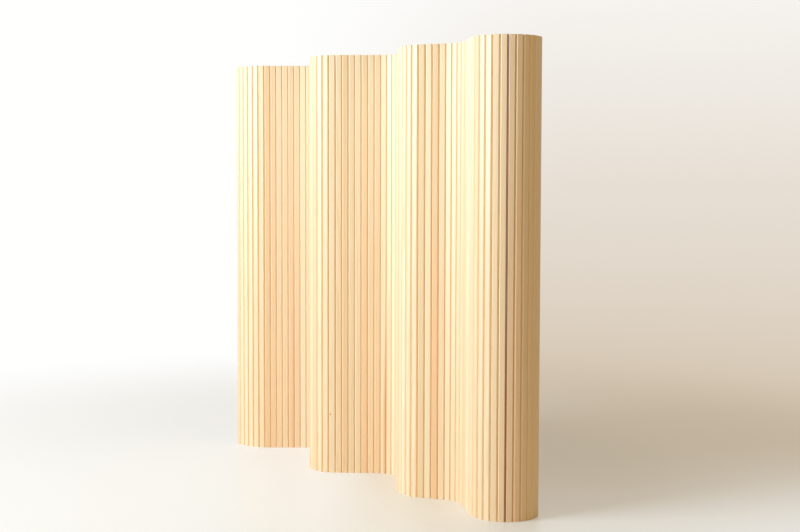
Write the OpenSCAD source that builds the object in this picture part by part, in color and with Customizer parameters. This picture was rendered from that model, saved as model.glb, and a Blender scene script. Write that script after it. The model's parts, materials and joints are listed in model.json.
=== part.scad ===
// Free-standing room screen of narrow pine slats, strung side by side on steel wires.
// The slats stand upright and the screen stands by the wave that it is bent into.
// All lengths are in millimetres. Z is up, the floor is at z = 0, X runs along the screen
// from its left end to its right end, and the origin is under the middle of the whole wave.

/* [Slats] */
// Height of every slat
slat_h = 1500; // [600:10:2000]
// Width of a slat, over the tips of its two rounded edges
slat_w = 22.7; // [18:0.1:40]
// Thickness of a slat
slat_t = 14; // [12:0.5:20]
// How far each rounded edge bulges beyond the flat faces
edge_bulge = 3.7; // [2:0.1:5]
// Gap left between two slats that are turned as far as they go
edge_clear = 0.35; // [0.3:0.05:1]
// Furthest that one slat turns from its neighbour, in degrees
turn_limit = 18; // [17:1:25]

/* [Wave, from the left end] */
// Turning joints in bend 1
bend_1_joints = 6; // [4:1:8]
// Whole turn of bend 1, in degrees
bend_1_turn = 51; // [0:1:100]
// How much more bend 1 turns at its right end than in its middle, as a share
bend_1_lean = 0.35; // [-0.8:0.05:0.8]
// Slats in straight run 1
run_1_slats = 8; // [2:1:14]
// Turning joints in bend 2
bend_2_joints = 9; // [7:1:11]
// Whole turn of bend 2, in degrees
bend_2_turn = 117; // [0:1:150]
// How much more bend 2 turns at its right end than in its middle, as a share
bend_2_lean = 0.15; // [-0.8:0.05:0.8]
// Slats in straight run 2
run_2_slats = 6; // [2:1:14]
// Turning joints in bend 3
bend_3_joints = 9; // [7:1:11]
// Whole turn of bend 3, in degrees
bend_3_turn = 114; // [0:1:150]
// How much more bend 3 turns at its right end than in its middle, as a share
bend_3_lean = 0.4; // [-0.8:0.05:0.8]
// Slats in straight run 3
run_3_slats = 8; // [2:1:14]
// Turning joints in bend 4
bend_4_joints = 6; // [5:1:8]
// Whole turn of bend 4, in degrees
bend_4_turn = 92; // [0:1:108]
// How much more bend 4 turns at its right end than in its middle, as a share
bend_4_lean = 0.1; // [-0.5:0.05:0.5]
// Slats in straight run 4
run_4_slats = 5; // [2:1:14]
// Turning joints in bend 5
bend_5_joints = 8; // [6:1:10]
// Whole turn of bend 5, in degrees
bend_5_turn = 79; // [0:1:100]
// How much more bend 5 turns at its right end than in its middle, as a share
bend_5_lean = 0.65; // [-0.8:0.05:0.8]
// Slats in straight run 5
run_5_slats = 4; // [2:1:14]
// Turning joints in bend 6
bend_6_joints = 5; // [4:1:7]
// Whole turn of bend 6, in degrees
bend_6_turn = 66; // [0:1:90]
// How much more bend 6 turns at its right end than in its middle, as a share
bend_6_lean = 0.05; // [-0.8:0.05:0.8]
// Slats in straight run 6
run_6_slats = 5; // [2:1:14]
// Turning joints in bend 7
bend_7_joints = 12; // [9:1:15]
// Whole turn of bend 7, in degrees
bend_7_turn = 149; // [0:1:200]
// How much more bend 7 turns at its right end than in its middle, as a share
bend_7_lean = 0.05; // [-0.8:0.05:0.8]

/* [Wires] */
// Number of wires, one above another
wire_count = 4; // [2:1:8]
// Height of the lowest wire, and depth of the highest one below the slats' tops
wire_inset = 120; // [50:5:250]
// Diameter of a wire
wire_d = 2; // [1:0.1:3]
// Clearance round a wire in the slats' holes
wire_clear = 1; // [0.6:0.1:1.5]

/* [Wire ends] */
// Length of the ferrule crimped on each wire end
ferrule_l = 8; // [4:0.5:12]
// Width of the ledge in the end slat that a ferrule bears on
ferrule_ledge = 1; // [0.5:0.1:1.2]
// Clearance round a ferrule in its counterbore
ferrule_clear = 0.5; // [0.2:0.1:0.8]
// Depth of a ferrule's outer face below the tip of the end slat's edge
ferrule_recess = 1; // [0.5:0.5:4]
// Clearance between a wire and the ferrule's bore
crimp_clear = 0.1; // [0.05:0.05:0.2]

/* [Hidden] */
// Each bend's number of turning joints, its whole turn and its lean, and the slats of each run
bends = [
    [bend_1_joints, bend_1_turn, bend_1_lean],
    [bend_2_joints, bend_2_turn, bend_2_lean],
    [bend_3_joints, bend_3_turn, bend_3_lean],
    [bend_4_joints, bend_4_turn, bend_4_lean],
    [bend_5_joints, bend_5_turn, bend_5_lean],
    [bend_6_joints, bend_6_turn, bend_6_lean],
    [bend_7_joints, bend_7_turn, bend_7_lean]
];
runs = [run_1_slats, run_2_slats, run_3_slats, run_4_slats, run_5_slats, run_6_slats];
last_bend = len(bends) - 1;

// Radius of the rounded edges, an arc from one face to the other
edge_r = (slat_t * slat_t / 4 + edge_bulge * edge_bulge) / (2 * edge_bulge);
// Two round edges that turn about a point between them come closer, so the gap of two slats
// that lie flat is wider than the clearance that is left at the turning limit
half_limit = turn_limit / 2;
slat_gap = (edge_clear + 2 * edge_r * (1 - cos(half_limit))) / cos(half_limit);
pitch = slat_w + slat_gap;

// The screen as groups of slats that stay in line: single slats in the bends, runs between them
group_sizes = [
    for (b = [0 : last_bend])
        each concat(
            [for (i = [1 : 1 : bends[b][0] - (b == 0 || b == last_bend ? 0 : 1)]) 1],
            b == last_bend ? [] : [runs[b]]
        )
];
// Turn of a bend's joint i, which grows or falls evenly from the bend's left end to its right
function joint_turn(bend, i) =
    bend[1] / bend[0] * (1 + bend[2] * (2 * i - 1 - bend[0]) / bend[0]);
// Turn at the joint after each group. The bends turn to the left and to the right by turns
group_turns = [
    for (b = [0 : last_bend])
        for (i = [1 : bends[b][0]]) (b % 2 == 0 ? 1 : -1) * joint_turn(bends[b], i)
];
last_group = len(group_sizes) - 1;
// Number of the first slat in each group, counted from 1 at the left end
first_slats = [for (g = 0, n = 1; g <= last_group; n = n + group_sizes[g], g = g + 1) n];

function direction(a) = [cos(a), sin(a)];
function to_left(a) = [-sin(a), cos(a)];

// Headings and joint points with the first slat along X, and then with the ends in line with X
raw_headings = [
    for (g = 0, a = 0; g <= last_group; a = a + (g < last_group ? group_turns[g] : 0), g = g + 1) a
];
function step(headings, g) = g > last_group ? [0, 0]
    : group_sizes[g] * pitch * direction(headings[g]);
function joint_points(headings) = [
    for (g = 0, p = [0, 0]; g <= last_group + 1; p = p + step(headings, g), g = g + 1) p
];
raw_end = joint_points(raw_headings)[last_group + 1];
end_to_end = atan2(raw_end.y, raw_end.x);
headings = [for (a = raw_headings) a - end_to_end];
raw_joints = joint_points(headings);

// How far a slat's outline reaches from its middle, in a direction at angle a to its width
face_half = slat_w / 2 - edge_bulge;
edge_half_angle = atan2(slat_t / 2, edge_r - edge_bulge);
function fold(a) = acos(abs(cos(a)));
function reach(a) = fold(a) < edge_half_angle
    ? (slat_w / 2 - edge_r) * cos(fold(a)) + edge_r
    : face_half * cos(fold(a)) + slat_t / 2 * sin(fold(a));
// The wave's box in plan, which sets the origin under its middle
raw_slats = [
    for (g = [0 : last_group])
        for (i = [0 : group_sizes[g] - 1])
            [raw_joints[g] + (i + 0.5) * pitch * direction(headings[g]), headings[g]]
];
low = [
    min([for (s = raw_slats) s[0].x - reach(s[1])]),
    min([for (s = raw_slats) s[0].y - reach(90 - s[1])])
];
high = [
    max([for (s = raw_slats) s[0].x + reach(s[1])]),
    max([for (s = raw_slats) s[0].y + reach(90 - s[1])])
];
joints = [for (p = raw_joints) p - (low + high) / 2];

wire_hole_d = wire_d + 2 * wire_clear;
wire_heights = [
    for (k = [0 : wire_count - 1]) wire_inset + k * (slat_h - 2 * wire_inset) / (wire_count - 1)
];
ferrule_d = wire_hole_d + 2 * ferrule_ledge;
// The tips of the end slats' outer edges, and the wire's ends, flush with the ferrules
left_tip = joints[0] + slat_gap / 2 * direction(headings[0]);
right_tip = joints[last_group + 1] - slat_gap / 2 * direction(headings[last_group]);
wire_path = concat(
    [left_tip + ferrule_recess * direction(headings[0])],
    [for (g = [1 : last_group]) joints[g]],
    [right_tip - ferrule_recess * direction(headings[last_group])]
);
wire_sides = 8;
bore_fn = 48;
edge_fn = 96;
overlap = 1;

function two_digits(n) = n < 10 ? str("0", n) : str(n);
group_names = [
    for (g = [0 : last_group])
        group_sizes[g] == 1
            ? str("slat_", two_digits(first_slats[g]))
            : str("slats_", two_digits(first_slats[g]),
                  "_", two_digits(first_slats[g] + group_sizes[g] - 1))
];

// Pine tones, dealt out so that neighbours differ
pine_tones = [
    [0.93, 0.79, 0.57], [0.90, 0.72, 0.49], [0.95, 0.83, 0.63], [0.91, 0.75, 0.55],
    [0.88, 0.68, 0.45]
];
function pine(n) = pine_tones[(n * 3 + floor(n / 4)) % len(pine_tones)];

// Outline of a slat across its length: a plank whose two long edges are cut to an arc each
module slat_outline() {
    difference() {
        square([slat_w + 2 * overlap, slat_t], center = true);
        for (side = [-1, 1])
            difference() {
                translate([side * slat_w / 2, 0])
                    square([edge_r + edge_bulge, slat_t + 2 * overlap], center = true);
                translate([side * (slat_w / 2 - edge_r), 0])
                    circle(r = edge_r, $fn = edge_fn);
            }
    }
}

// One slat about its own middle, standing on the floor, with the wires' holes across it.
// counterbore is -1 or 1 on a slat at that end of the screen, and 0 on the others
module slat(counterbore) {
    difference() {
        linear_extrude(height = slat_h)
            slat_outline();
        for (z = wire_heights) {
            translate([-slat_w / 2 - overlap, 0, z])
                rotate([0, 90, 0])
                    cylinder(d = wire_hole_d, h = slat_w + 2 * overlap, $fn = bore_fn);
            if (counterbore != 0)
                translate([counterbore * (slat_w / 2 + overlap), 0, z])
                    rotate([0, -90 * counterbore, 0])
                        cylinder(
                            d = ferrule_d + 2 * ferrule_clear,
                            h = overlap + ferrule_recess + ferrule_l,
                            $fn = bore_fn
                        );
        }
    }
}

// The slats of one group, side by side along the group's heading
module slat_group(g) {
    translate([joints[g].x, joints[g].y, 0])
        rotate([0, 0, headings[g]])
            for (i = [0 : group_sizes[g] - 1])
                color(pine(first_slats[g] + i))
                    translate([(i + 0.5) * pitch, 0, 0])
                        slat(
                            g == 0 && i == 0 ? -1
                            : g == last_group && i == group_sizes[g] - 1 ? 1
                            : 0
                        );
}

// Angle across the wire at each point of its path: square to an end, halfway at a joint
function across(k) = k == 0 ? headings[0]
    : k > last_group ? headings[last_group]
    : (headings[k - 1] + headings[k]) / 2;
// A mitred ring is wider across a joint than the wire is
function mitre(k) = k == 0 || k > last_group ? 1 : 1 / cos((headings[k] - headings[k - 1]) / 2);

// One wire through every slat, a many-sided tube that turns on the joints between the slats
module wire(z) {
    points = [
        for (k = [0 : len(wire_path) - 1])
            for (j = [0 : wire_sides - 1])
                let (
                    a = 360 * j / wire_sides,
                    sideways = wire_d / 2 * cos(a) * mitre(k) * to_left(across(k))
                )
                [wire_path[k].x + sideways.x, wire_path[k].y + sideways.y, z + wire_d / 2 * sin(a)]
    ];
    last_ring = (len(wire_path) - 1) * wire_sides;
    faces = concat(
        [[for (j = [0 : wire_sides - 1]) j]],
        [[for (j = [wire_sides - 1 : -1 : 0]) last_ring + j]],
        [
            for (k = [0 : len(wire_path) - 2])
                for (j = [0 : wire_sides - 1])
                    let (
                        here = k * wire_sides + j,
                        next = k * wire_sides + (j + 1) % wire_sides
                    )
                    [here, here + wire_sides, next + wire_sides, next]
        ]
    );
    polyhedron(points = points, faces = faces);
}

module wires() {
    color("silver")
        for (z = wire_heights)
            wire(z);
}

// The ferrules of one end, each on its wire and against the ledge in the end slat.
// side is -1 at the left end and 1 at the right end
module ferrules(side) {
    tip = side < 0 ? left_tip : right_tip;
    heading = side < 0 ? headings[0] : headings[last_group];
    color("lightsteelblue")
        translate([tip.x, tip.y, 0])
            rotate([0, 0, heading])
                for (z = wire_heights)
                    translate([-side * ferrule_recess, 0, z])
                        rotate([0, -90 * side, 0])
                            difference() {
                                cylinder(d = ferrule_d, h = ferrule_l, $fn = bore_fn);
                                translate([0, 0, -overlap])
                                    cylinder(
                                        d = wire_d + 2 * crimp_clear,
                                        h = ferrule_l + 2 * overlap,
                                        $fn = bore_fn
                                    );
                            }
}

for (g = [0 : last_group])
    slat_group(g);
wires();
ferrules(-1);  // ferrules_left
ferrules(1);  // ferrules_right
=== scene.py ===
"""Looks of the pine slat folding screen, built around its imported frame.

Every slat, wire and ferrule is a surface worked out with numpy and rides on its CAD body.
Lengths are in metres, +Z is up, and the screen's front looks to -Y.
"""

import json
import math

import bpy
import numpy as np
from bpy.props import (
    FloatProperty, FloatVectorProperty, IntProperty, PointerProperty,
)
from mathutils import Matrix, Vector

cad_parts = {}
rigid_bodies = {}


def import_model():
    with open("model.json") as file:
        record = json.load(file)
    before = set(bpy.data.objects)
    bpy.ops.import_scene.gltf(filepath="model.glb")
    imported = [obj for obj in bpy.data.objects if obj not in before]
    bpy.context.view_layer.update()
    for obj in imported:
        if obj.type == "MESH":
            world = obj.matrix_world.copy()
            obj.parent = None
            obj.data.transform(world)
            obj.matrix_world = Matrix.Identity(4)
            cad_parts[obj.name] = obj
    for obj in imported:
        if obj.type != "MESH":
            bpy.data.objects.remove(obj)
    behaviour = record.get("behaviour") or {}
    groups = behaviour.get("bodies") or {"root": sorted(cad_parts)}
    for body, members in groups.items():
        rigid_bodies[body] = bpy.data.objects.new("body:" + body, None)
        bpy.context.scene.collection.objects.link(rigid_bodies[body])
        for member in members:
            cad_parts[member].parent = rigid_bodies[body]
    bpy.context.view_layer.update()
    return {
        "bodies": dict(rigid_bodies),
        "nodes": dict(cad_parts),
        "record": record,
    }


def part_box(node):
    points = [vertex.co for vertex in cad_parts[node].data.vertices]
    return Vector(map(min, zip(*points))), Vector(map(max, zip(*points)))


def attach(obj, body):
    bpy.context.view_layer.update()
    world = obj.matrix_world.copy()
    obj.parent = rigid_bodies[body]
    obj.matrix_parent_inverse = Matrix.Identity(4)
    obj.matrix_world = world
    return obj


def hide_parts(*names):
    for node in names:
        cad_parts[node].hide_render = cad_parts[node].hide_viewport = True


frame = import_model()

bl_info = {
    "name": "Pine slat folding screen",
    "version": (1, 0, 0),
    "blender": (4, 5, 0),
    "location": "View3D > Sidebar > Slat screen",
    "description": "Dresses the frame of a folding screen of pine slats on steel wires",
    "category": "Object",
}


# Where the parts lie, read off the frame

FACE_WITHIN = 1e-5      # how far a point of a flat face may lie off its plane
WIRES_APART = 0.01      # levels further apart than this belong to two wires


def node_points(node):
    """The node's vertices as an array of rows x, y, z."""
    mesh = frame["nodes"][node].data
    points = np.empty(len(mesh.vertices) * 3)
    mesh.vertices.foreach_get("co", points)
    return points.reshape(-1, 3)


def group_places():
    """One entry a body, from the screen's left end to its right: its name, first slat, slat count,
    the middle of its slats in plan, the unit vector along them, and its hinge axes in plan."""
    joints = frame["record"]["behaviour"]["joints"]
    hinges = {frozenset((j["parent"], j["child"])): np.array(j["pos_m"][:2]) for j in joints}
    bodies = sorted(frame["bodies"], key=lambda name: int(name.split("_")[1]))
    groups = []
    for i, body in enumerate(bodies):
        numbers = [int(part) for part in body.split("_")[1:]]
        low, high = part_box(body)
        middle = np.array((low + high) / 2)[:2]
        left = hinges.get(frozenset(bodies[i - 1 : i + 1])) if i else None
        right = hinges.get(frozenset(bodies[i : i + 2])) if i + 1 < len(bodies) else None
        along = (middle if right is None else right) - (middle if left is None else left)
        groups.append({
            "body": body, "first": numbers[0], "count": numbers[-1] - numbers[0] + 1,
            "middle": middle, "along": along / np.linalg.norm(along),
            "left": left, "right": right,
        })
    return groups


def measured_section(group):
    """(width, thickness, width of a flat face, height) of the slat in a group of one slat."""
    points = node_points(group["body"])
    flat = points[:, :2] - group["middle"]
    across = flat @ np.array([-group["along"][1], group["along"][0]])
    width = flat @ group["along"]
    on_face = np.abs(across) > np.ptp(across) / 2 - FACE_WITHIN
    return np.ptp(width), np.ptp(across), np.ptp(width[on_face]), np.ptp(points[:, 2])


def measured_wires():
    """(the wires' heights, a wire's radius), from the levels that their vertices lie on."""
    levels = np.unique(np.round(node_points("wires")[:, 2], 6))
    wires = np.split(levels, np.flatnonzero(np.diff(levels) > WIRES_APART) + 1)
    return [float(w.min() + w.max()) / 2 for w in wires], float(np.ptp(wires[0])) / 2


def measured_pitch(groups):
    """The slats' spacing, from the hinge axes at both ends of each group."""
    inner = [g for g in groups if g["left"] is not None and g["right"] is not None]
    return float(np.mean([np.linalg.norm(g["right"] - g["left"]) / g["count"] for g in inner]))


GROUPS = group_places()
SLAT_W, SLAT_T, FACE_W, SLAT_H = (float(v) for v in measured_section(GROUPS[1]))
WIRE_LEVELS, WIRE_R = measured_wires()
PITCH = measured_pitch(GROUPS)
BULGE = (SLAT_W - FACE_W) / 2
EDGE_R = (SLAT_T ** 2 / 4 + BULGE ** 2) / (2 * BULGE)
LAST_SLAT = GROUPS[-1]["first"]


# Sizes and colours that a user would change


class SlatSizes(bpy.types.PropertyGroup):
    arris: FloatProperty(
        name="Arris", description="Radius that rounds the corner between a face and an edge",
        default=0.0011, min=0.0003, max=0.0016, unit="LENGTH")
    end_chamfer: FloatProperty(
        name="End chamfer", description="Width of the broken corner round a sawn end",
        default=0.0005, min=0.0002, max=0.001, unit="LENGTH")
    hole_radius: FloatProperty(
        name="Wire hole radius", description="Radius of the holes that the wires run through",
        default=0.002, min=0.0015, max=0.003, unit="LENGTH")
    counterbore_radius: FloatProperty(
        name="Counterbore radius", description="Radius of the recess round a ferrule",
        default=0.0035, min=0.003, max=0.004, unit="LENGTH")
    counterbore_depth: FloatProperty(
        name="Counterbore depth", description="Depth of that recess below the edge's tip",
        default=0.009, min=0.005, max=0.012, unit="LENGTH")
    saw_error: FloatProperty(
        name="Saw error", description="How much a slat's upper end may fall short of full height",
        default=0.0006, min=0, max=0.002, unit="LENGTH")
    seed: IntProperty(
        name="Boards", description="Seed that picks each slat's place in the log and its tint",
        default=7, min=0)


class PineLook(bpy.types.PropertyGroup):
    early: FloatVectorProperty(
        name="Early wood", description="Colour of the pale part of a growth ring",
        default=(0.90, 0.76, 0.53), size=3, min=0, max=1, subtype="COLOR")
    late: FloatVectorProperty(
        name="Late wood", description="Colour of the dark part of a growth ring",
        default=(0.79, 0.52, 0.27), size=3, min=0, max=1, subtype="COLOR")
    # also the colour that the wood leans to towards the floor, partly as painted shade
    warm: FloatVectorProperty(
        name="Warm wood", description="Colour that streaks and the redder slats lean to",
        default=(0.90, 0.585, 0.35), size=3, min=0, max=1, subtype="COLOR")
    # also the colour of the painted light towards the top of the slats
    pale: FloatVectorProperty(
        name="Pale wood", description="Colour that the palest slats and bleached wood lean to",
        default=(0.95, 0.86, 0.66), size=3, min=0, max=1, subtype="COLOR")
    golden: FloatVectorProperty(
        name="Golden wood", description="Colour that the darker slats lean to",
        default=(0.86, 0.61, 0.32), size=3, min=0, max=1, subtype="COLOR")
    edge: FloatVectorProperty(
        name="Rounded edge", description="Colour that the rounded edges lean to",
        default=(0.97, 0.74, 0.46), size=3, min=0, max=1, subtype="COLOR")
    heart: FloatVectorProperty(
        name="Heartwood", description="Colour of the reddish heartwood",
        default=(0.76, 0.42, 0.19), size=3, min=0, max=1, subtype="COLOR")
    # painted shadow: the dark colour of the wide gap between slats 80 and 81
    gap_shadow: FloatVectorProperty(
        name="Resin", description="Colour of an edge that is dark with resin",
        default=(0.30, 0.085, 0.02), size=3, min=0, max=1, subtype="COLOR")
    knot: FloatVectorProperty(
        name="Knot", description="Colour of a knot's core",
        default=(0.36, 0.15, 0.05), size=3, min=0, max=1, subtype="COLOR")
    sawn: FloatVectorProperty(
        name="Sawn end", description="Colour that the sawn ends lean to",
        default=(0.62, 0.40, 0.2), size=3, min=0, max=1, subtype="COLOR")
    roughness: FloatProperty(
        name="Wood roughness", description="Roughness of the wood under the lacquer",
        default=0.48, min=0, max=1, subtype="FACTOR")
    coat: FloatProperty(
        name="Lacquer", description="Weight of the lacquer coat",
        default=0.6, min=0, max=1, subtype="FACTOR")
    coat_roughness: FloatProperty(
        name="Lacquer roughness", description="Roughness of the lacquer coat",
        default=0.38, min=0, max=1, subtype="FACTOR")


class MetalLook(bpy.types.PropertyGroup):
    wire: FloatVectorProperty(
        name="Wire", description="Colour of the steel wires",
        default=(0.62, 0.61, 0.59), size=3, min=0, max=1, subtype="COLOR")
    wire_roughness: FloatProperty(
        name="Wire roughness", description="Roughness of the drawn wires",
        default=0.3, min=0, max=1, subtype="FACTOR")
    ferrule: FloatVectorProperty(
        name="Ferrule", description="Colour of the aluminium ferrules",
        default=(0.72, 0.73, 0.74), size=3, min=0, max=1, subtype="COLOR")
    ferrule_roughness: FloatProperty(
        name="Ferrule roughness", description="Roughness of the crimped ferrules",
        default=0.34, min=0, max=1, subtype="FACTOR")


class StageLook(bpy.types.PropertyGroup):
    floor: FloatVectorProperty(
        name="Floor", description="Colour of the floor",
        default=(0.86, 0.89, 0.90), size=3, min=0, max=1, subtype="COLOR")
    floor_white: FloatProperty(
        name="Floor whiteness", description="Share of the backdrop's colour in the floor near by",
        default=0.45, min=0, max=1, subtype="FACTOR")
    floor_roughness: FloatProperty(
        name="Floor roughness", description="Roughness of the floor",
        default=0.35, min=0, max=1, subtype="FACTOR")
    floor_gloss: FloatProperty(
        name="Floor gloss", description="Strength of the floor's reflection",
        default=0.3, min=0, max=1, subtype="FACTOR")
    backdrop: FloatVectorProperty(
        name="Backdrop", description="Colour of the backdrop on the lamp's side",
        default=(1.0, 1.0, 0.99), size=3, min=0, max=1, subtype="COLOR")
    # also the colour of the painted shade on the floor
    backdrop_dim: FloatVectorProperty(
        name="Dim backdrop", description="Colour that the backdrop leans to away from the lamp",
        default=(0.64, 0.53, 0.40), size=3, min=0, max=1, subtype="COLOR")
    key_power: FloatProperty(
        name="Window light", description="Power of the large soft lamp on the left",
        default=238, min=0, unit="POWER")
    key_colour: FloatVectorProperty(
        name="Window light colour", description="Colour of that lamp",
        default=(0.82, 0.91, 1.0), size=3, min=0, max=1, subtype="COLOR")
    fill: FloatProperty(
        name="Room light", description="Strength of the even light from all round",
        default=0.45, min=0)
    fill_colour: FloatVectorProperty(
        name="Room light colour", description="Colour of the light from the camera's side",
        default=(1.0, 0.69, 0.25), size=3, min=0, max=1, subtype="COLOR")
    wall_colour: FloatVectorProperty(
        name="Wall light colour", description="Colour of the light from behind the screen",
        default=(1.0, 0.95, 0.88), size=3, min=0, max=1, subtype="COLOR")
    lens: FloatProperty(
        name="Lens", description="Focal length of the camera for a 36 mm wide sensor",
        default=54.387, min=20, max=200, unit="CAMERA")


# Numbers and colours of a material's nodes


class Term:
    """A socket that carries a number. Python's operators on it add Math nodes."""

    def __init__(self, nodes, socket):
        self.nodes, self.socket = nodes, socket

    def math(self, operation, *others):
        sockets = dict(enumerate((self,) + others))
        return self.nodes.number("ShaderNodeMath", {"operation": operation}, sockets)

    def flipped(self, operation, other):
        sockets = {0: other, 1: self}
        return self.nodes.number("ShaderNodeMath", {"operation": operation}, sockets)

    def __add__(self, other):
        return self.math("ADD", other)

    def __radd__(self, other):
        return self.math("ADD", other)

    def __sub__(self, other):
        return self.math("SUBTRACT", other)

    def __rsub__(self, other):
        return self.flipped("SUBTRACT", other)

    def __mul__(self, other):
        return self.math("MULTIPLY", other)

    def __rmul__(self, other):
        return self.math("MULTIPLY", other)

    def __truediv__(self, other):
        return self.math("DIVIDE", other)

    def __rtruediv__(self, other):
        return self.flipped("DIVIDE", other)

    def part(self):
        """What is left of the number past its whole part."""
        return self.math("FRACT")

    def band(self, low, high):
        """A smooth step from 0 at low to 1 at high, which falls where high is below low."""
        kind = {"interpolation_type": "SMOOTHSTEP"}
        if low > high:
            return 1 - self.band(high, low)
        return self.nodes.number("ShaderNodeMapRange", kind, {0: self, 1: low, 2: high})


class Nodes:
    """The nodes of one material or world."""

    def __init__(self, owner):
        owner.use_nodes = True
        self.tree = owner.node_tree
        self.tree.nodes.clear()

    def add(self, kind, settings=None, sockets=None):
        """Adds a node: its settings first, then each socket's value or link, by index or name."""
        node = self.tree.nodes.new(kind)
        for name, value in (settings or {}).items():
            setattr(node, name, value)
        for key, value in (sockets or {}).items():
            socket = self.find(node.inputs, key)
            value = getattr(value, "socket", value)
            if isinstance(value, bpy.types.NodeSocket):
                self.tree.links.new(value, socket)
            elif hasattr(value, "__len__") and len(value) < len(socket.default_value):
                socket.default_value = (*value, 1)
            else:
                socket.default_value = value
        return node

    def find(self, sockets, key):
        """The socket of that index, or the one in use of that name."""
        if isinstance(key, int):
            return sockets[key]
        return next(s for s in sockets if s.enabled and key in (s.identifier, s.name))

    def number(self, kind, settings=None, sockets=None, output=0):
        return Term(self, self.find(self.add(kind, settings, sockets).outputs, output))

    def vector(self, operation, a, b):
        return self.add("ShaderNodeVectorMath", {"operation": operation}, {0: a, 1: b}).outputs[0]

    def scale(self, vector, factor):
        sockets = {0: vector, "Scale": factor}
        return self.add("ShaderNodeVectorMath", {"operation": "SCALE"}, sockets).outputs[0]

    def join(self, x, y, z):
        return self.add("ShaderNodeCombineXYZ", None, {0: x, 1: y, 2: z}).outputs[0]

    def split(self, vector):
        node = self.add("ShaderNodeSeparateXYZ", None, {0: vector})
        return [Term(self, socket) for socket in node.outputs]

    def attribute(self, name):
        return self.add("ShaderNodeAttribute", {"attribute_name": name}).outputs["Vector"]

    def dot(self, a, b):
        settings = {"operation": "DOT_PRODUCT"}
        return self.number("ShaderNodeVectorMath", settings, {0: a, 1: b}, "Value")

    def length(self, vector):
        settings = {"operation": "LENGTH"}
        return self.number("ShaderNodeVectorMath", settings, {0: vector}, "Value")

    def noise(self, vector, stretch, detail=2.0, rough=0.5):
        """Noise around 0, from about -0.5 to 0.5, with so many waves a metre along x, y and z."""
        place = self.vector("MULTIPLY", vector, stretch)
        sockets = {"Vector": place, "Scale": 1.0, "Detail": detail, "Roughness": rough}
        return self.number("ShaderNodeTexNoise", None, sockets) - 0.5

    def blend(self, mask, a, b):
        """Colour a, and colour b where the mask is 1."""
        settings = {"data_type": "RGBA", "blend_type": "MIX", "clamp_factor": True}
        sockets = {"Factor_Float": mask, "A_Color": a, "B_Color": b}
        return self.find(self.add("ShaderNodeMix", settings, sockets).outputs, "Result_Color")

    def bump(self, height, strength, distance):
        sockets = {"Strength": strength, "Distance": distance, "Height": height}
        return self.add("ShaderNodeBump", None, sockets).outputs[0]

    def surface(self, sockets):
        shader = self.add("ShaderNodeBsdfPrincipled", None, sockets)
        self.add("ShaderNodeOutputMaterial", None, {"Surface": shader.outputs[0]})


# Pine. A noise is given by its waves a metre, twice across the log and once along it

WANDER_WAVES = (9, 9, 1.3)
WANDER = 0.009                  # how far that noise moves a growth ring
NOISE_APART = (3.7, 1.9, 8.3)   # between the places that two unlike noises are read at
RING_DARKENS = (0.35, 0.86)     # share of a ring's width over which its wood turns dark
RING_ENDS = (1.0, 0.9)          # and over which that falls off at the ring's outer side
RIPPLE_WAVES = (240, 240, 7)
FIBRE_WAVES = (1500, 1500, 16)
STREAK_WAVES = (150, 150, 0.9)
CLOUD_WAVES = (30, 30, 2.4)
FLECK_WAVES = (900, 900, 60)
SAW_WAVES = (2600, 500, 10)
KNOT_STRETCH = 2.6              # a knot's height over its width
KNOT_CORE = (1.05, 0.8)         # half widths from a knot's middle where its core begins and is full
KNOT_HALO = (2.4, 0.9)          # and the same of the halo round it
EDGE_STARTS = 0.0008            # past the flat face, where the rounded edge's colour starts
EDGE_FULL = 0.0022              # past the flat face, where that colour is full
SAWN_FACING = (0.75, 0.9)       # how far up or down a surface looks where it counts as sawn
GRAIN_DEPTH = 0.00025           # height of the grain's relief


def knot_reach(nodes, u, z):
    """(distance from the knot's middle in its half widths, that half width)."""
    knot_u, knot_z, size = nodes.split(nodes.attribute("knot"))
    du, dz = (u - knot_u) / size, (z - knot_z) / (size * KNOT_STRETCH)
    return nodes.length(nodes.join(du, dz, 0.0)), size


def late_wood(nodes, grain, board, ripple, pushed):
    """How far a place lies in the dark part of its growth ring, from 0 to 1. The rings are circles
    round the log's pith. Slow noise bends them along the slat, and the knot pushes them aside."""
    tint, redness, ring = board
    shifted = nodes.vector("ADD", grain, NOISE_APART)
    x, y, _ = nodes.split(grain)
    x = x + nodes.noise(grain, WANDER_WAVES, 1.5) * WANDER + pushed
    y = y + nodes.noise(shifted, WANDER_WAVES, 1.5) * WANDER
    radius = nodes.length(nodes.join(x, y, 0.0))
    uneven = nodes.noise(nodes.join(radius, tint, redness), (70, 3, 3))
    phase = (radius / ring + uneven * 3.2 + ripple * 0.3).part()
    return phase.band(*RING_DARKENS) * phase.band(*RING_ENDS)


def with_heartwood_and_gap_shadow(nodes, wood, look, u, streak, fibre):
    """The wood's colour with its heartwood, and with the painted shadow of a wide gap where that is
    stronger than 1.
    """
    border, width, strength = nodes.split(nodes.attribute("heartwood"))
    side = (u - border) / width + streak * 1.2
    heart = side.band(-0.5, 0.5) * strength * (0.8 + fibre * 0.5)
    wood = nodes.blend(heart, wood, look.heart)
    # painted shadow: above a strength of 1, in slats 80 and 81, the edge turns dark as the shadow of
    # the wide gap between them
    gap_shadow = (heart - 1).math("MAXIMUM", 0.0)
    return nodes.blend(gap_shadow * 1.6, wood, look.gap_shadow)


def with_knot(nodes, wood, look, own, far):
    """The wood's colour with its knot: a dark core with brown rings in an amber halo."""
    rings = (far * 6 + nodes.noise(own, (300, 300, 150)) * 2).math("SINE")
    core = (far + nodes.noise(own, (400, 400, 200)) * 0.35).band(*KNOT_CORE)
    halo = far.band(*KNOT_HALO) * 0.5
    wood = nodes.blend(halo, wood, look.heart)
    brown = nodes.blend(rings * 0.35 + 0.4, look.knot, look.heart)
    return nodes.blend(core, wood, brown)


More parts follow.
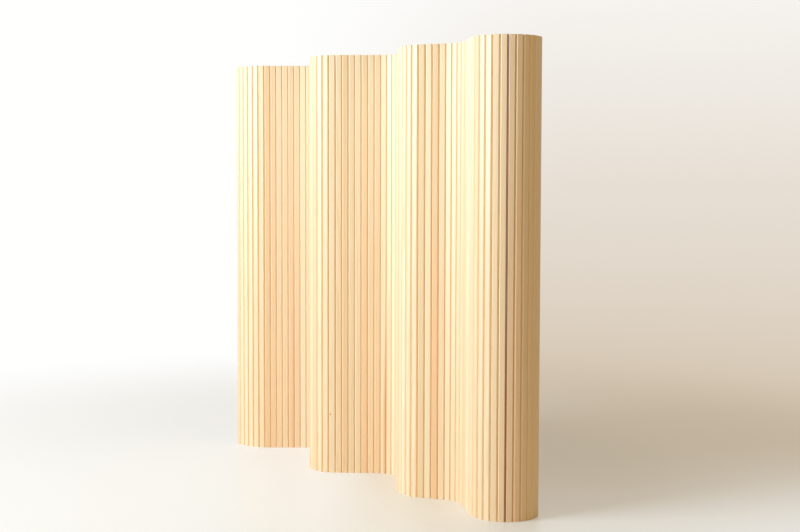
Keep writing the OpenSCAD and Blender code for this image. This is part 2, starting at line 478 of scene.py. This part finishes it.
def pine_material(look):
    """Matt lacquered pine: growth rings, and on them streaks, heartwood, fibres, resin flecks, a knot
    and darker sawn ends. Painted light makes it paler towards the top, painted shade partly makes it
    warmer towards the floor, and a painted shadow darkens the wide gap between slats 80 and 81."""
    material = bpy.data.materials.new("pine_matt_lacquer")
    nodes = Nodes(material)
    grain = nodes.attribute("grain")
    own = nodes.attribute("own")
    board = nodes.split(nodes.attribute("board"))
    tint, redness, _ = board
    u, _, z = nodes.split(own)
    knot_far, knot_size = knot_reach(nodes, u, z)
    knot_push = (0 - knot_far * knot_far * 0.5).math("EXPONENT") * knot_size * 0.9

    ripple = nodes.noise(grain, RIPPLE_WAVES)
    fibre = nodes.noise(grain, FIBRE_WAVES, 2.0, 0.6)
    streak = nodes.noise(grain, STREAK_WAVES, 2.0, 0.55)
    cloud = nodes.noise(grain, CLOUD_WAVES)
    late = late_wood(nodes, grain, board, ripple, knot_push)

    # early and late wood, then warmer streaks and slats, and warmer towards the floor, partly as
    # painted shade
    contrast = 0.34 + redness * 0.25 + cloud * 0.3
    wood = nodes.blend(late * contrast, look.early, look.late)
    # the last term is partly painted shade: warmer wood low down, where less light falls
    warm = streak.band(0.0, 0.2) * 0.34 + redness * 0.8 + cloud * 0.25 + z.band(1.1, -0.1) * 0.12
    wood = nodes.blend(warm, wood, look.warm)

    # the slat's own tint, either way, painted light that makes the wood paler towards the top, and the
    # rounded edges
    # painted light: the wood leans to the pale colour towards the top, where more light falls
    painted_top_light = z.band(0.5, 1.7) * 0.34
    wood = nodes.blend(tint.band(0.0, 1.6) * 0.7 + painted_top_light, wood, look.pale)
    wood = nodes.blend(tint.band(0.0, -1.6) * 0.7, wood, look.golden)
    edge = u.math("ABSOLUTE").band(FACE_W / 2 + EDGE_STARTS, FACE_W / 2 + EDGE_FULL)
    wood = nodes.blend(edge * 0.8, wood, look.edge)
    wood = with_heartwood_and_gap_shadow(nodes, wood, look, u, streak, fibre)

    # lighter and darker streaks and fibres, and flecks of resin: short dark dashes along the fibres
    wood = nodes.scale(wood, 1 + tint * 0.02 + streak * 0.12 + fibre * 0.16 + ripple * 0.05)
    fleck = nodes.noise(grain, FLECK_WAVES, 1.0).band(0.24, 0.3) * 0.35
    wood = nodes.blend(fleck * late, wood, look.knot)
    wood = with_knot(nodes, wood, look, own, knot_far)

    # sawn ends take up more lacquer and are darker
    facing = nodes.split(nodes.add("ShaderNodeTexCoord").outputs["Normal"])[2].math("ABSOLUTE")
    sawn = facing.band(*SAWN_FACING)
    wood = nodes.blend(sawn * 0.45, wood, look.sawn)

    relief = fibre * 0.5 - late * 0.35 + ripple * 0.2
    saw_marks = nodes.noise(own, SAW_WAVES, 1.0)
    nodes.surface({
        "Base Color": wood,
        "Roughness": look.roughness + late * -0.06 + fibre * 0.12 + sawn * 0.25,
        "Normal": nodes.bump(relief + saw_marks * sawn * 2, 0.35, GRAIN_DEPTH),
        "Specular IOR Level": 0.45, "Coat Weight": look.coat,
        "Coat Roughness": look.coat_roughness})
    return material


DULL_WAVES = (90, 90, 90)
DULLER = 0.72           # brightness of the metal's dull patches


def metal_material(name, colour, roughness, across, along, depth):
    """Bright metal with drawing marks, and duller in patches. The marks are noise with so many waves a
    metre across the piece and along it, and of that depth."""
    material = bpy.data.materials.new(name)
    nodes = Nodes(material)
    own = nodes.attribute("own")
    marks = nodes.noise(own, (along, across, across), 2.0, 0.6)
    dull = nodes.noise(own, DULL_WAVES)
    duller = [c * DULLER for c in colour]
    nodes.surface({
        "Base Color": nodes.blend(dull.band(-0.1, 0.35) * 0.4, colour, duller),
        "Metallic": 1.0, "Roughness": roughness + marks * 0.2 + dull * 0.15,
        "Normal": nodes.bump(marks, 0.3, depth)})
    return material


# Surfaces, and the objects made of them

WELD_STEPS = 1e7        # steps a metre; points in the same step are one
SHARP_ANGLE = math.radians(34)


def welded(points, quads, polygons=()):
    """One mesh's points and faces, with points that lie together joined and unused ones left out."""
    keys = np.round(points * WELD_STEPS).astype(np.int64)
    used = np.unique(np.concatenate([quads.ravel()] + [np.array(p) for p in polygons]))
    _, first, back = np.unique(keys[used], axis=0, return_index=True, return_inverse=True)
    new = np.zeros(len(points), dtype=np.int64)
    new[used] = back.ravel()
    faces = new[quads].tolist() + [new[np.array(p)].tolist() for p in polygons]
    return points[used][first], faces


def grid_quads(rows, columns):
    """Faces of a grid whose points are stored row by row and whose rows are closed rings. They face
    outwards where a row runs counter-clockwise, seen from the side that the rows go to."""
    i = np.arange(rows - 1)[:, None] * columns
    j = np.arange(columns)[None, :]
    after = (j + 1) % columns
    return np.stack([i + j, i + after, i + columns + after, i + columns + j], -1).reshape(-1, 4)


def make_piece(name, points, faces, fields, material, body, node):
    """A finished object from points and faces, with one vector attribute for each field. It rides on
    the body and takes the place of the node."""
    mesh = bpy.data.meshes.new(name)
    mesh.from_pydata(points.tolist(), [], faces)
    for field, values in fields.items():
        attribute = mesh.attributes.new(field, "FLOAT_VECTOR", "POINT")
        attribute.data.foreach_set("vector", np.ascontiguousarray(values, dtype=np.float32).ravel())
    mesh.materials.append(material)
    mesh.update()
    mesh.shade_smooth()
    mesh.set_sharp_from_angle(angle=SHARP_ANGLE)
    obj = bpy.data.objects.new(name, mesh)
    bpy.context.scene.collection.objects.link(obj)
    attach(obj, body)
    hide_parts(node)


# A slat's surface

EDGE_CELLS = 6          # cells along each side of the square patch round a hole
PATCH = 0.0046          # half the width of that patch
ARC_OUTSIDE = 2         # cells of the edge's arc on either side of the patch
ARRIS_CELLS = 3
FACE_LINES = 4          # lines of points along a face
FACE_HOLD = 0.0004      # from the arris in to the first of them
LEVEL_STEP = 0.07       # longest cell along a slat
END_ROW = 2.5           # place of the second row from a sawn end, in chamfers


def section_line(sizes):
    """(points, normals, first index of the patch on the right edge) of the slat's outline.

    The outline runs counter-clockwise: front face, right edge, back face, left edge. An edge is an
    arc of radius EDGE_R, and the arris between it and a face is a small arc that touches both. The
    second half of the outline is the first one turned half round."""
    arris = sizes.arris
    centre = SLAT_W / 2 - EDGE_R
    small_y = SLAT_T / 2 - arris
    small_x = centre + math.sqrt((EDGE_R - arris) ** 2 - small_y ** 2)
    meet = math.atan2(small_y, small_x - centre)
    tip = EDGE_R * math.sin(meet)
    outer = np.linspace(-tip, -PATCH, ARC_OUTSIDE + 1)
    arc_y = np.concatenate([outer, np.linspace(-PATCH, PATCH, EDGE_CELLS + 1)[1:], -outer[-2::-1]])
    arc = np.arcsin(arc_y / EDGE_R)
    fillet = np.linspace(-math.pi / 2, -meet, ARRIS_CELLS + 1)[:-1]
    angle = np.concatenate([fillet, arc, -fillet[::-1]])
    on_arc = np.repeat([False, True, False], [len(fillet), len(arc), len(fillet)])
    radius = np.where(on_arc, EDGE_R, arris)
    mid_x = np.where(on_arc, centre, small_x)
    mid_y = np.where(on_arc, 0, np.sign(angle) * small_y)
    normal = np.stack([np.cos(angle), np.sin(angle)], -1)
    right = np.stack([mid_x, mid_y], -1) + radius[:, None] * normal
    hold = small_x - FACE_HOLD
    front = np.stack([
        np.linspace(-hold, hold, FACE_LINES), np.full(FACE_LINES, -SLAT_T / 2)], -1)
    down = np.tile([0.0, -1.0], (FACE_LINES, 1))
    half, half_normal = np.concatenate([front, right]), np.concatenate([down, normal])
    patch_first = len(front) + ARRIS_CELLS + ARC_OUTSIDE
    return np.concatenate([half, -half]), np.concatenate([half_normal, -half_normal]), patch_first


def slat_levels(sizes):
    """Heights of the slat's grid rows, and the first row of the patch at each wire."""
    marks = [0, sizes.end_chamfer, END_ROW * sizes.end_chamfer]
    for level in WIRE_LEVELS:
        marks += list(level + np.linspace(-PATCH, PATCH, EDGE_CELLS + 1))
    marks += [SLAT_H - END_ROW * sizes.end_chamfer, SLAT_H - sizes.end_chamfer, SLAT_H]
    rows = [marks[0]]
    for low, high in zip(marks[:-1], marks[1:]):
        steps = max(1, math.ceil((high - low) / LEVEL_STEP))
        rows += list(np.linspace(low, high, steps + 1)[1:])
    rows = np.array(rows)
    firsts = [int(np.argmin(np.abs(rows - (level - PATCH)))) for level in WIRE_LEVELS]
    return rows, firsts


def hole_rows(sizes, level, counterbored):
    """Rows of points from the square patch on the right edge, through the hole, to the patch on the
    left edge. The points of a row go once round the hole. The row between a square and its circle is
    the mean of the two, laid on the edge's arc: x = centre + sqrt(R^2 - y^2)."""
    side = np.linspace(-1, 1, EDGE_CELLS + 1)[:-1]
    one = np.ones(EDGE_CELLS)
    square = PATCH * np.concatenate([
        np.stack([one, side], -1), np.stack([-side, one], -1),
        np.stack([-one, -side], -1), np.stack([side, -one], -1)])
    turn = np.arctan2(square[:, 1], square[:, 0])
    circle = np.stack([np.cos(turn), np.sin(turn)], -1)

    def on_edge(flat, hand):
        """Points across and up from the hole's axis, on the right (1) or left (-1) edge."""
        x = SLAT_W / 2 - EDGE_R + np.sqrt(EDGE_R ** 2 - flat[:, 0] ** 2)
        return np.stack([hand * x, flat[:, 0], flat[:, 1] + level], -1)

    def inside(flat, x):
        """The same points at one x."""
        return np.stack([np.full(len(flat), x), flat[:, 0], flat[:, 1] + level], -1)

    small = circle * sizes.hole_radius
    big = circle * (sizes.counterbore_radius if counterbored else sizes.hole_radius)
    rows = [on_edge(square, 1), on_edge((square + big) / 2, 1), on_edge(big, 1)]
    if counterbored:
        bottom = SLAT_W / 2 - sizes.counterbore_depth
        rows += [inside(big, bottom), inside(small, bottom)]
    rows += [on_edge(small, -1), on_edge((square + small) / 2, -1), on_edge(square, -1)]
    return np.array(rows)


def slat_shape(sizes, counterbored):
    """(points, faces) of an upright slat round the z axis: the outline carried from the floor to the
    top, drawn in at both sawn ends, with the patches round the wire holes left out of that grid and
    filled by the holes' own rows. The square of each patch has the grid's own points."""
    line, normal, patch = section_line(sizes)
    levels, firsts = slat_levels(sizes)
    count = len(line)
    drawn_in = np.zeros(len(levels))
    drawn_in[[0, -1]] = sizes.end_chamfer
    flat = line[None] - drawn_in[:, None, None] * normal[None]
    height = np.repeat(levels[:, None, None], count, axis=1)
    points = np.concatenate([flat, height], -1).reshape(-1, 3)
    quads = grid_quads(len(levels), count).reshape(len(levels) - 1, count, 4)
    solid = np.ones(quads.shape[:2], dtype=bool)
    for first in firsts:
        for start in (patch, patch + count // 2):
            solid[first : first + EDGE_CELLS, start : start + EDGE_CELLS] = False
    all_points, all_quads = [points], [quads[solid]]
    total = len(points)
    for level in WIRE_LEVELS:
        rows = hole_rows(sizes, level, counterbored)
        all_points.append(rows.reshape(-1, 3))
        all_quads.append(grid_quads(*rows.shape[:2]) + total)
        total += rows.shape[0] * rows.shape[1]
    bottom = list(range(count))[::-1]
    top = [len(points) - count + i for i in range(count)]
    return welded(np.concatenate(all_points), np.concatenate(all_quads), (bottom, top))


def placed(points, origin, along):
    """Points given as along, across and up, at their place in the frame."""
    across = np.array([-along[1], along[0]])
    flat = origin + points[:, :1] * along + points[:, 1:2] * across
    return np.concatenate([flat, points[:, 2:]], 1)


# A slat's own wood

# Slats whose tint the photograph shows: (golden below 0 and pale above it, redness)
MARKED = {
    2: (0.0, 0.0), 3: (-0.2, 0.0), 4: (0.1, 0.0), 5: (-0.1, 0.1), 6: (0.1, 0.05), 7: (-0.9, 0.65),
    8: (-0.5, 0.5), 9: (0.1, 0.2), 10: (0.0, 0.25), 11: (-0.2, 0.7), 12: (0.0, 0.4), 13: (0.9, 0.0),
    35: (0.2, 0.0), 36: (-0.1, 0.1), 39: (-1.0, 0.5), 42: (-0.7, 0.4), 43: (0.0, 0.35),
    45: (0.2, 0.1), 46: (-0.1, 0.1), 58: (0.4, 0.0), 59: (0.5, 0.0), 60: (0.1, 0.0),
    61: (0.3, 0.1), 64: (-0.5, 1.0), 65: (0.2, 0.1), 66: (0.5, 0.1), 67: (0.0, 0.1),
    77: (0.2, 0.1), 78: (0.4, 0.0), 80: (0.0, 0.3), 81: (0.3, 0.5), 82: (0.1, 0.6),
    83: (-1.0, 0.3), 84: (-1.3, 0.4), 85: (-0.9, 0.5), 86: (-0.9, 0.4),
}
# Heartwood of a slat, and for slats 80 and 81 the painted shadow of the wide gap between them: where
# its border lies across the front (right is +), that border's width (below 0 where the heartwood lies
# left of it), its strength (above 1 where it is painted dark as that shadow), and the heights where it
# ends and where it is full
HEARTWOOD_AND_GAP_SHADOW = {
    11: (0.003, 0.006, 0.5, 0.80, 0.40), 18: (-0.004, 0.005, 0.6, 0.2, 0.9),
    45: (0.002, 0.005, 1.0, 0.55, 0.25), 55: (0.002, 0.006, 0.5, 1.5, 0.9),
    # slats 80 and 81: a painted shadow of the wide gap between them, drawn with the heartwood's
    # colours
    80: (0.0096, 0.001, 2.0, 3.0, 1.6), 81: (-0.0085, -0.0012, 1.8, 3.0, 1.6),
}
NO_HEARTWOOD = (0.02, 0.004, 0.0, 1.0, 0.5)
# Knot of a slat: its place across and up, and its half width
KNOTS = {
    37: (-0.0068, 0.213, 0.0016), 17: (0.002, 1.22, 0.002), 28: (0.001, 0.33, 0.0028),
    51: (-0.003, 0.86, 0.0022), 56: (0.004, 1.31, 0.0015),
}
NO_KNOT = (0.0, -9.0, 0.001)
FLAT_SAWN = 0.55            # share of the slats that are flat sawn
PITH_FAR = (0.02, 0.11)     # from the slat to its log's pith
PITH_ASIDE = 0.03           # how far the pith may lie to either side of that
LEAN = 0.006                # spread of the slope between the slat and the pith
RING_WIDTH = (0.0017, 0.0042)
LOG_STRETCH = 60            # length of log that the slats' starts are drawn from
TINT_SPREAD = 0.6
REDNESS_SHAPE = (0.9, 2.4)


def board(number, chance):
    """The slat's place in its log, its tint and how short it is, drawn from the seeded generator, but
    for the tint of a slat in the table."""
    flat_sawn = chance.random() < FLAT_SAWN
    far, aside = chance.uniform(*PITH_FAR), chance.uniform(-PITH_ASIDE, PITH_ASIDE)
    pith = (aside, far) if flat_sawn else (far, aside)
    hand = chance.choice([-1, 1], 2)
    lean = chance.normal(0, LEAN, 2)
    tint, redness = chance.normal(0, TINT_SPREAD), chance.beta(*REDNESS_SHAPE)
    ring = chance.uniform(*RING_WIDTH)
    start = chance.uniform(0, LOG_STRETCH)
    short = chance.random()
    tint, redness = MARKED.get(number, (tint, redness))
    return {
        "pith": np.array(pith) * hand, "lean": lean, "start": start, "short": short,
        "board": (tint, redness, ring),
    }


def slat_fields(number, local, wood):
    """The slat's attributes. grain: place in the log, from the pith, which leans along the slat.
    own: place on the slat. The others are the same all over it, but for how heartwood grows in."""
    grain = local.copy()
    grain[:, :2] += wood["pith"] + local[:, 2:] * wood["lean"]
    grain[:, 2] += wood["start"]
    # for slats 80 and 81 the heartwood attribute carries the painted shadow of the wide gap between
    # them
    border, width, strength, ends, full = HEARTWOOD_AND_GAP_SHADOW.get(number, NO_HEARTWOOD)
    grown = np.clip((local[:, 2] - ends) / (full - ends), 0, 1) * strength
    ones = np.ones(len(local))
    heartwood = np.stack([border * ones, width * ones, grown], -1)
    knot = KNOTS.get(number, NO_KNOT)
    return {
        "grain": grain, "own": local, "board": np.tile(wood["board"], (len(local), 1)),
        "heartwood": heartwood, "knot": np.tile(knot, (len(local), 1)),
    }


class SCREEN_OT_slats(bpy.types.Operator):
    """Makes the pine slats"""

    bl_idname = "screen.slats"
    bl_label = "Slats"

    def execute(self, context):
        sizes = context.scene.slat_sizes
        material = pine_material(context.scene.pine_look)
        chance = np.random.default_rng(sizes.seed)
        plain, ended = slat_shape(sizes, False), slat_shape(sizes, True)
        top_wire = WIRE_LEVELS[-1] + PATCH
        for group in GROUPS:
            for i in range(group["count"]):
                number = group["first"] + i
                local, faces = ended if number in (1, LAST_SLAT) else plain
                local = local.copy()
                wood = board(number, chance)
                above = np.clip((local[:, 2] - top_wire) / (SLAT_H - top_wire), 0, 1)
                local[:, 2] -= above * wood["short"] * sizes.saw_error
                offset = (i - (group["count"] - 1) / 2) * PITCH
                origin = group["middle"] + offset * group["along"]
                # the left end slat is the right one turned round
                turned = local * [-1, -1, 1] if number == 1 else local
                make_piece(
                    f"pine_slat_{number:02d}", placed(turned, origin, group["along"]), faces,
                    slat_fields(number, turned, wood), material, group["body"],
                    group["body"])
        return {"FINISHED"}


# Wires and ferrules

WIRE_SIDES = 12
WIRE_CAP = 4            # cells from the tip of a wire's round end to its side
FERRULE_OUT = 0.001     # from the tip of the end slat's edge in to the ferrule's outer face
FERRULE_L = 0.008
FERRULE_R = 0.00295
FERRULE_SIDES = 32
FERRULE_CELLS = 32
BORE_R = 0.0011
BORE_EDGE = 0.0003      # width of the bore's broken edge
LIP_R = 0.0004          # radius of the outer edge
LIP_CELLS = 4
CRIMPS = (0.0026, 0.0054)
CRIMP_W = 0.0009
CRIMP_DEPTH = 0.13      # share of the radius
CRIMP_ROUND = 0.35      # share of that depth all round, the rest being on two opposite sides


def turned_shape(profile, sides):
    """(points, faces) of a profile of rows (x, radius) turned round the x axis. The first and last
    radius are 0."""
    angle = np.linspace(0, 2 * math.pi, sides, endpoint=False)[None, :]
    x, radius = profile[:, :1] + 0 * angle, profile[:, 1:] + 0 * angle
    rows = np.stack([x, radius * np.cos(angle), radius * np.sin(angle)], -1)
    quads = grid_quads(len(profile), sides)
    points, faces = welded(rows.reshape(-1, 3), quads)
    return points, [list(dict.fromkeys(face)) for face in faces]


def wire_span(length):
    """A straight piece of wire with round ends, centred on the hinge axes at both its ends."""
    turn = np.linspace(0, math.pi / 2, WIRE_CAP + 1)
    low = np.stack([-WIRE_R * np.cos(turn), WIRE_R * np.sin(turn)], -1)
    steps = max(1, round(length / PITCH))
    mid = np.linspace(0, length, steps + 1)[1:-1]
    middle = np.stack([mid, np.full(len(mid), WIRE_R)], -1)
    high = np.stack([length + WIRE_R * np.cos(turn), WIRE_R * np.sin(turn)], -1)[::-1]
    return turned_shape(np.concatenate([low, middle, high]), WIRE_SIDES)


def repeated(shape, levels):
    """The shape once for each level, as one mesh's points and faces."""
    points, faces = shape
    every = np.concatenate([points + [0, 0, level] for level in levels])
    count = len(points)
    return every, [[i + k * count for i in face] for k in range(len(levels)) for face in faces]


class SCREEN_OT_wires(bpy.types.Operator):
    """Makes the four steel wires, cut at the hinge axes so that each length turns with its slats"""

    bl_idname = "screen.wires"
    bl_label = "Wires"

    def execute(self, context):
        look = context.scene.metal_look
        material = metal_material(
            "steel_wire", look.wire, look.wire_roughness, across=4000, along=60, depth=0.00002)
        for group in GROUPS:
            along, middle = group["along"], group["middle"]
            reach = group["count"] * PITCH / 2
            outer = reach - (PITCH - SLAT_W) / 2 - FERRULE_OUT - WIRE_R / 2
            left = -outer if group["left"] is None else -reach
            right = outer if group["right"] is None else reach
            points, faces = repeated(wire_span(right - left), WIRE_LEVELS)
            place = points + [left, 0, 0]
            make_piece(
                f"wire_at_{group['body']}", placed(place, middle, along), faces, {"own": place},
                material, group["body"], "wires")
        return {"FINISHED"}


def ferrule_shape():
    """(points, faces) of a sleeve crimped on the wire, its outer end at x = 0 and the rest at lower
    x. Its outline, a closed loop of (x, radius), is turned round the x axis. The outer radius is
    drawn in by two crimps, each a smooth hollow in x that is deeper on two opposite sides."""
    turn = np.linspace(0, math.pi / 2, LIP_CELLS + 1)
    lip = np.stack([
        LIP_R * (np.sin(turn) - 1), FERRULE_R + LIP_R * (np.cos(turn) - 1)], -1)
    body = np.linspace(LIP_R - FERRULE_L, -LIP_R, FERRULE_CELLS + 1)[1:-1]
    wall = np.stack([body, np.full(len(body), FERRULE_R)], -1)
    back = lip[::-1] * [-1, 1] - [FERRULE_L, 0]
    bore = np.array([
        [0, BORE_R + BORE_EDGE], [-BORE_EDGE, BORE_R], [BORE_EDGE - FERRULE_L, BORE_R],
        [-FERRULE_L, BORE_R + BORE_EDGE]])
    loop = np.concatenate([back, wall, lip, bore])
    angle = np.linspace(0, 2 * math.pi, FERRULE_SIDES, endpoint=False)[:, None]
    x, radius = loop[:, 0] + 0 * angle, loop[:, 1] + 0 * angle
    hollow = sum(np.exp(-((x + place) / CRIMP_W) ** 2) for place in CRIMPS)
    depth = CRIMP_DEPTH * (CRIMP_ROUND + (1 - CRIMP_ROUND) * np.cos(angle) ** 4)
    crimped = radius * (1 - depth * hollow)
    radius = np.where(radius > (BORE_R + FERRULE_R) / 2, crimped, radius)
    rows = np.stack([x, radius * np.cos(angle), radius * np.sin(angle)], -1)
    ring = np.concatenate([rows, rows[:1]]).reshape(-1, 3)
    quads = grid_quads(FERRULE_SIDES + 1, len(loop))[:, ::-1]
    return welded(ring, quads)


class SCREEN_OT_ferrules(bpy.types.Operator):
    """Makes the ferrules crimped on the wires' ends"""

    bl_idname = "screen.ferrules"
    bl_label = "Ferrules"

    def execute(self, context):
        look = context.scene.metal_look
        material = metal_material(
            "crimped_aluminium", look.ferrule, look.ferrule_roughness, across=900, along=900,
            depth=0.00003)
        shape = ferrule_shape()
        for group, hand, node in ((GROUPS[0], -1, "ferrules_left"), (GROUPS[-1], 1, "ferrules_right")):
            points, faces = repeated(shape, WIRE_LEVELS)
            place = points + [SLAT_W / 2 - FERRULE_OUT, 0, 0]
            along = group["along"] * hand
            make_piece(
                node.replace("ferrules", "crimped_ferrules"),
                placed(place, group["middle"], along), faces, {"own": place}, material,
                group["body"], node)
        return {"FINISHED"}


# The stage: camera, floor, lamp and backdrop

CAMERA_PLACE = (3.0434, -3.0290, 1.0534)
CAMERA_YAW = math.radians(43.941)
CAMERA_DOWN = math.radians(2.857)
CAMERA_ROLL = math.radians(0.147)
CAMERA_RISE = -0.0309                   # the lens's shift, as a share of the sensor
SENSOR = 36
WINDOW_PLACE = (-1.6, -4.4, 2.5)
WINDOW_TARGET = (0, 0, 0.8)
WINDOW_SIZE = 2.6
AWAY_FROM_WINDOW = (0.72, 0.69, 0.0)    # level, from the window's side to the dim one
AWAY_FROM_ROOM = (-0.69, 0.72, 0.0)     # level, from the room to the wall behind the screen
SIDE_BAND = (-0.12, 0.14)               # where the light side turns into the dim one
FLOOR_REACH = 300.0
SOFTEN = 1.2                            # distance that softens what depends on a direction
DIM_LEVEL = 0.56                        # share of the dim backdrop far off, level with the camera
DIM_RISE = 2.4                          # how fast that share falls as the view turns up
DIM_NEAR = 1.4                          # and how fast it grows on the floor near the screen
BEHIND_BAND = (-1.0, 0.8)               # distances towards the wall over which the floor gets dimmer
NEAR_BAND = (1.5, 0.8)                  # distances where the dim side's floor gets darker
FADE_BAND = (1.2, 3.4)                  # distances over which the floor fades to the backdrop
WALL_BAND = (-0.1, 0.7)                 # where the room's light turns into the wall's
WALL_EXTRA = 0.4                        # how much stronger the wall's light is
MIRROR_BAND = (0.2, 0.9)                # where reflections of the dim side get darker
MIRROR_LOSS = 0.6                       # and by how much


def add_camera(look):
    """The camera at the photograph's place. Its view is turned left of +Y by the yaw, tipped down
    and rolled a little."""
    view = Vector((
        -math.sin(CAMERA_YAW) * math.cos(CAMERA_DOWN), math.cos(CAMERA_YAW) * math.cos(CAMERA_DOWN),
        -math.sin(CAMERA_DOWN)))
    level = Vector((math.cos(CAMERA_YAW), math.sin(CAMERA_YAW), 0))
    up = level.cross(view)
    right = math.cos(CAMERA_ROLL) * level + math.sin(CAMERA_ROLL) * up
    up = right.cross(view)
    camera = bpy.data.objects.new("camera", bpy.data.cameras.new("camera"))
    turn = Matrix((right, up, -view)).transposed()
    camera.matrix_world = Matrix.Translation(CAMERA_PLACE) @ turn.to_4x4()
    camera.data.sensor_width = SENSOR
    camera.data.lens = look.lens
    camera.data.shift_y = CAMERA_RISE
    bpy.context.scene.collection.objects.link(camera)
    bpy.context.scene.camera = camera


def add_window(look):
    """The large soft square lamp that stands for a window, on the left behind the camera."""
    lamp = bpy.data.lights.new("window", "AREA")
    lamp.size = WINDOW_SIZE
    lamp.energy = look.key_power
    lamp.color = look.key_colour
    obj = bpy.data.objects.new("window", lamp)
    obj.location = WINDOW_PLACE
    shine = Vector(WINDOW_TARGET) - Vector(WINDOW_PLACE)
    obj.rotation_euler = shine.to_track_quat("-Z", "Y").to_euler()
    bpy.context.scene.collection.objects.link(obj)


def backdrop_colour(nodes, side, look):
    """The backdrop's colour: white on the window's side, and dimmer and warmer where side is 1."""
    return nodes.blend(side, look.backdrop, look.backdrop_dim)


def add_floor(look):
    """A plain pale floor, a little glossy. It holds the screen's shadow and its faint reflection, has
    painted shade that makes it warmer and dimmer behind the screen on the side away from the window,
    and for the camera fades to the backdrop's colour with the distance from the screen."""
    material = bpy.data.materials.new("pale_floor")
    nodes = Nodes(material)
    place = nodes.add("ShaderNodeTexCoord").outputs["Object"]
    far = nodes.length(place)
    side = (nodes.dot(place, AWAY_FROM_WINDOW) / (far + SOFTEN)).band(*SIDE_BAND)
    behind = nodes.dot(place, AWAY_FROM_ROOM)
    # painted shade: where shade is 1 the floor is dimmer and warmer, behind the screen on the dim side
    shade = side * behind.band(*BEHIND_BAND)
    # for the camera the floor's backdrop colour carries the same painted shade, stronger near the
    # screen
    backdrop = backdrop_colour(nodes, shade * (DIM_LEVEL + DIM_NEAR / (far + SOFTEN)), look)
    seen = Term(nodes, nodes.add("ShaderNodeLightPath").outputs["Is Camera Ray"])
    pale = nodes.add("ShaderNodeBsdfPrincipled", None, {
        # the base colour carries painted shade, leaning to the dim backdrop's colour
        "Base Color": nodes.blend(shade * 0.4, look.floor, look.backdrop_dim),
        "Roughness": look.floor_roughness, "Specular IOR Level": look.floor_gloss})
    white = nodes.add("ShaderNodeEmission", None, {"Color": backdrop, "Strength": 1.0})
    near = look.floor_white * (1 - shade * 0.5 - side * far.band(*NEAR_BAND) * 0.5)
    mask = seen * (near + far.band(*FADE_BAND) * (1 - near))
    shaders = {0: mask, 1: pale.outputs[0], 2: white.outputs[0]}
    mixed = nodes.add("ShaderNodeMixShader", None, shaders)
    nodes.add("ShaderNodeOutputMaterial", None, {"Surface": mixed.outputs[0]})
    corners = [(-1, -1, 0), (1, -1, 0), (1, 1, 0), (-1, 1, 0)]
    mesh = bpy.data.meshes.new("floor")
    mesh.from_pydata([Vector(corner) * FLOOR_REACH for corner in corners], [], [(0, 1, 2, 3)])
    mesh.materials.append(material)
    obj = bpy.data.objects.new("floor", mesh)
    bpy.context.scene.collection.objects.link(obj)


def set_world(look):
    """Light from all round, warm from the camera's side and white from behind the screen, and the
    backdrop where the camera or a reflection sees past the screen."""
    world = bpy.data.worlds.new("studio")
    bpy.context.scene.world = world
    nodes = Nodes(world)
    path = nodes.add("ShaderNodeLightPath")
    seen = Term(nodes, path.outputs["Is Camera Ray"])
    mirrored = Term(nodes, path.outputs["Is Glossy Ray"]).math(
        "MAXIMUM", Term(nodes, path.outputs["Is Transmission Ray"]))
    view = nodes.add("ShaderNodeTexCoord").outputs["Generated"]
    side = nodes.dot(view, AWAY_FROM_WINDOW)
    up = nodes.split(view)[2]
    backdrop = backdrop_colour(nodes, side.band(*SIDE_BAND) * (DIM_LEVEL - up * DIM_RISE), look)
    shown = seen.math("MAXIMUM", mirrored)
    wall = nodes.dot(view, AWAY_FROM_ROOM).band(*WALL_BAND)
    fill = nodes.blend(wall, look.fill_colour, look.wall_colour)
    colour = nodes.blend(shown, fill, backdrop)
    even = look.fill * (1 + wall * WALL_EXTRA)
    darker = mirrored * side.band(*MIRROR_BAND) * MIRROR_LOSS
    strength = even + shown * (1 - even - darker)
    back = nodes.add("ShaderNodeBackground", None, {"Color": colour, "Strength": strength})
    nodes.add("ShaderNodeOutputWorld", None, {"Surface": back.outputs[0]})


class SCREEN_OT_stage(bpy.types.Operator):
    """Makes the camera, the floor, the lamp and the backdrop"""

    bl_idname = "screen.stage"
    bl_label = "Stage"

    def execute(self, context):
        look = context.scene.stage_look
        add_camera(look)
        add_floor(look)
        add_window(look)
        set_world(look)
        context.scene.view_settings.view_transform = "Standard"
        return {"FINISHED"}


class SCREEN_PT_panel(bpy.types.Panel):
    """The screen's pieces and their settings, in the 3D view's sidebar"""

    bl_label = "Slat screen"
    bl_idname = "SCREEN_PT_panel"
    bl_space_type = "VIEW_3D"
    bl_region_type = "UI"
    bl_category = "Slat screen"

    def draw(self, context):
        for operator in OPERATORS:
            self.layout.operator(operator.bl_idname)
        for settings in GROUPS_OF_SETTINGS:
            group = getattr(context.scene, settings)
            for name in group.__annotations__:
                self.layout.prop(group, name)


GROUPS_OF_SETTINGS = {
    "slat_sizes": SlatSizes, "pine_look": PineLook, "metal_look": MetalLook,
    "stage_look": StageLook,
}
OPERATORS = (SCREEN_OT_stage, SCREEN_OT_slats, SCREEN_OT_wires, SCREEN_OT_ferrules)


def register():
    for name, group in GROUPS_OF_SETTINGS.items():
        bpy.utils.register_class(group)
        setattr(bpy.types.Scene, name, PointerProperty(type=group))
    for cls in OPERATORS + (SCREEN_PT_panel,):
        bpy.utils.register_class(cls)


def unregister():
    for cls in (SCREEN_PT_panel,) + OPERATORS[::-1]:
        bpy.utils.unregister_class(cls)
    for name, group in GROUPS_OF_SETTINGS.items():
        delattr(bpy.types.Scene, name)
        bpy.utils.unregister_class(group)


def main():
    register()
    bpy.ops.screen.stage()
    bpy.ops.screen.slats()
    bpy.ops.screen.wires()
    bpy.ops.screen.ferrules()


if __name__ == "__main__":
    main()
